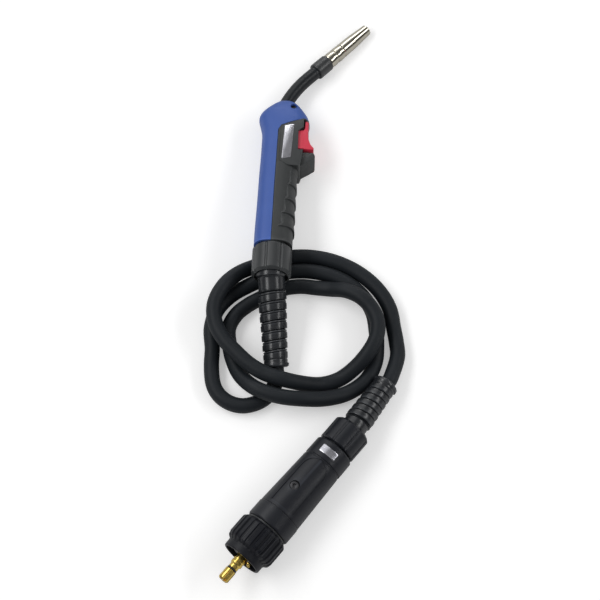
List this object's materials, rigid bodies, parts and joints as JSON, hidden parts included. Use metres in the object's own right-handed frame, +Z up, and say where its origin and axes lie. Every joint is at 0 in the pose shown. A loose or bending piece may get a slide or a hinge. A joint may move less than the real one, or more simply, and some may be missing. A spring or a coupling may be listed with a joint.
{
  "type": "welding torch",
  "caption": "MIG welding torch with bent neck, trigger handle, coiled hose cable and a central plug with sprung contact pins.",
  "frame": {"origin": "centre of the torch's own bounding box (cable and plug left out), on the surface it lies on", "axes": "+Y from the torch's cable end to its head, +Z up, +X towards the trigger side"},
  "size_m": [0.2028, 0.6216, 0.0593],
  "materials": {
    "nickel_plate": "polished nickel plate",
    "copper": "drawn copper",
    "brass": "turned brass",
    "spring_steel": "drawn wire",
    "neck_black": "satin jacket",
    "insulator_black": "moulded, satin",
    "handle_blue": "fine grained moulding",
    "handle_black": "fine grained moulding",
    "pad_rubber": "soft rubber",
    "trigger_red": "moulded, satin gloss",
    "bare_plate": "brushed foil plate",
    "relief_rubber": "moulded rubber",
    "cable_rubber": "matt rubber sleeve",
    "plug_black": "fine grained moulding",
    "nut_black": "moulded, satin",
    "screw_black": "blackened steel",
    "switch_grey": "moulded"
  },
  "bodies": {
    "root": {"nozzle_spring": "spring_steel", "contact_tip": "copper", "gas_diffuser": "brass", "neck_collar": "insulator_black", "swan_neck": "neck_black", "neck_conductor": "copper", "neck_clamp": "brass", "handle_back_shell": "handle_blue", "handle_front_shell": "handle_black", "grip_pads": "pad_rubber", "handle_plate": "bare_plate", "head_screw": "screw_black", "handle_spigot": "handle_black", "trigger_pin": "spring_steel", "trigger_spring": "spring_steel", "switch_body": "switch_grey", "handle_relief": "relief_rubber", "cable_handle_end": "cable_rubber", "cable_handle_lead": "cable_rubber", "cable_coil": "cable_rubber", "cable_plug_lead": "cable_rubber", "cable_plug_end": "cable_rubber", "plug_relief": "relief_rubber", "plug_housing_upper": "plug_black", "plug_housing_lower": "plug_black", "plug_screw": "screw_black", "plug_plate": "bare_plate", "plug_body": "brass", "plug_face": "insulator_black", "plug_stem": "brass", "stem_ring": "relief_rubber", "liner_nut": "brass", "wire_liner": "spring_steel", "contact_spring_upper": "spring_steel", "contact_spring_lower": "spring_steel"},
    "trigger": {"trigger": "trigger_red"},
    "switch_button": {"switch_button": "trigger_red"},
    "gas_nozzle": {"gas_nozzle": "nickel_plate"},
    "handle_nut": {"handle_nut": "nut_black"},
    "plug_union_nut": {"plug_union_nut": "nut_black"},
    "euro_nut": {"euro_nut": "nut_black"},
    "contact_pin_upper": {"contact_pin_upper": "brass"},
    "contact_pin_lower": {"contact_pin_lower": "brass"}
  },
  "joints": [
    {"name": "trigger_pull", "type": "hinge", "parent": "root", "child": "trigger", "pos_m": [-0.01407, 0.06015, 0.02099], "axis": [-0.0036, -0.1045, -0.9945], "range_deg": [0, 6], "stiffness_Nm_per_rad": 1.5, "springref_deg": -2.86, "deforming": ["trigger_spring"]},
    {"name": "switch_press", "type": "slide", "parent": "root", "child": "switch_button", "axis": [-0.9994, 0.0349, 0], "range_m": [0, 0.0026]},
    {"name": "nozzle_pull", "type": "slide", "parent": "root", "child": "gas_nozzle", "axis": [0.6945, 0.7153, -0.0777], "range_m": [0, 0.04]},
    {"name": "handle_nut_turn", "type": "hinge", "parent": "root", "child": "handle_nut", "pos_m": [-0.04309, -0.09756, 0.03767], "axis": [0.0347, 0.9939, -0.1045], "continuous": true},
    {"name": "plug_nut_turn", "type": "hinge", "parent": "root", "child": "plug_union_nut", "pos_m": [0.0288, -0.27702, 0.02011], "axis": [0.6409, 0.7665, -0.0413], "continuous": true},
    {"name": "euro_nut_turn", "type": "hinge", "parent": "root", "child": "euro_nut", "pos_m": [-0.05836, -0.38126, 0.02572], "axis": [0.6409, 0.7665, -0.0413], "continuous": true},
    {"name": "upper_pin_press", "type": "slide", "parent": "root", "child": "contact_pin_upper", "axis": [0.6409, 0.7665, -0.0413], "range_m": [0, 0.003], "stiffness_N_per_m": 300, "springref_m": -0.003, "deforming": ["contact_spring_upper"]},
    {"name": "lower_pin_press", "type": "slide", "parent": "root", "child": "contact_pin_lower", "axis": [0.6409, 0.7665, -0.0413], "range_m": [0, 0.003], "stiffness_N_per_m": 300, "springref_m": -0.003, "deforming": ["contact_spring_lower"]}
  ],
  "couplings": [
    {"joint": "switch_press", "follows": "trigger_pull", "m_per_rad": 0.0229}
  ]
}
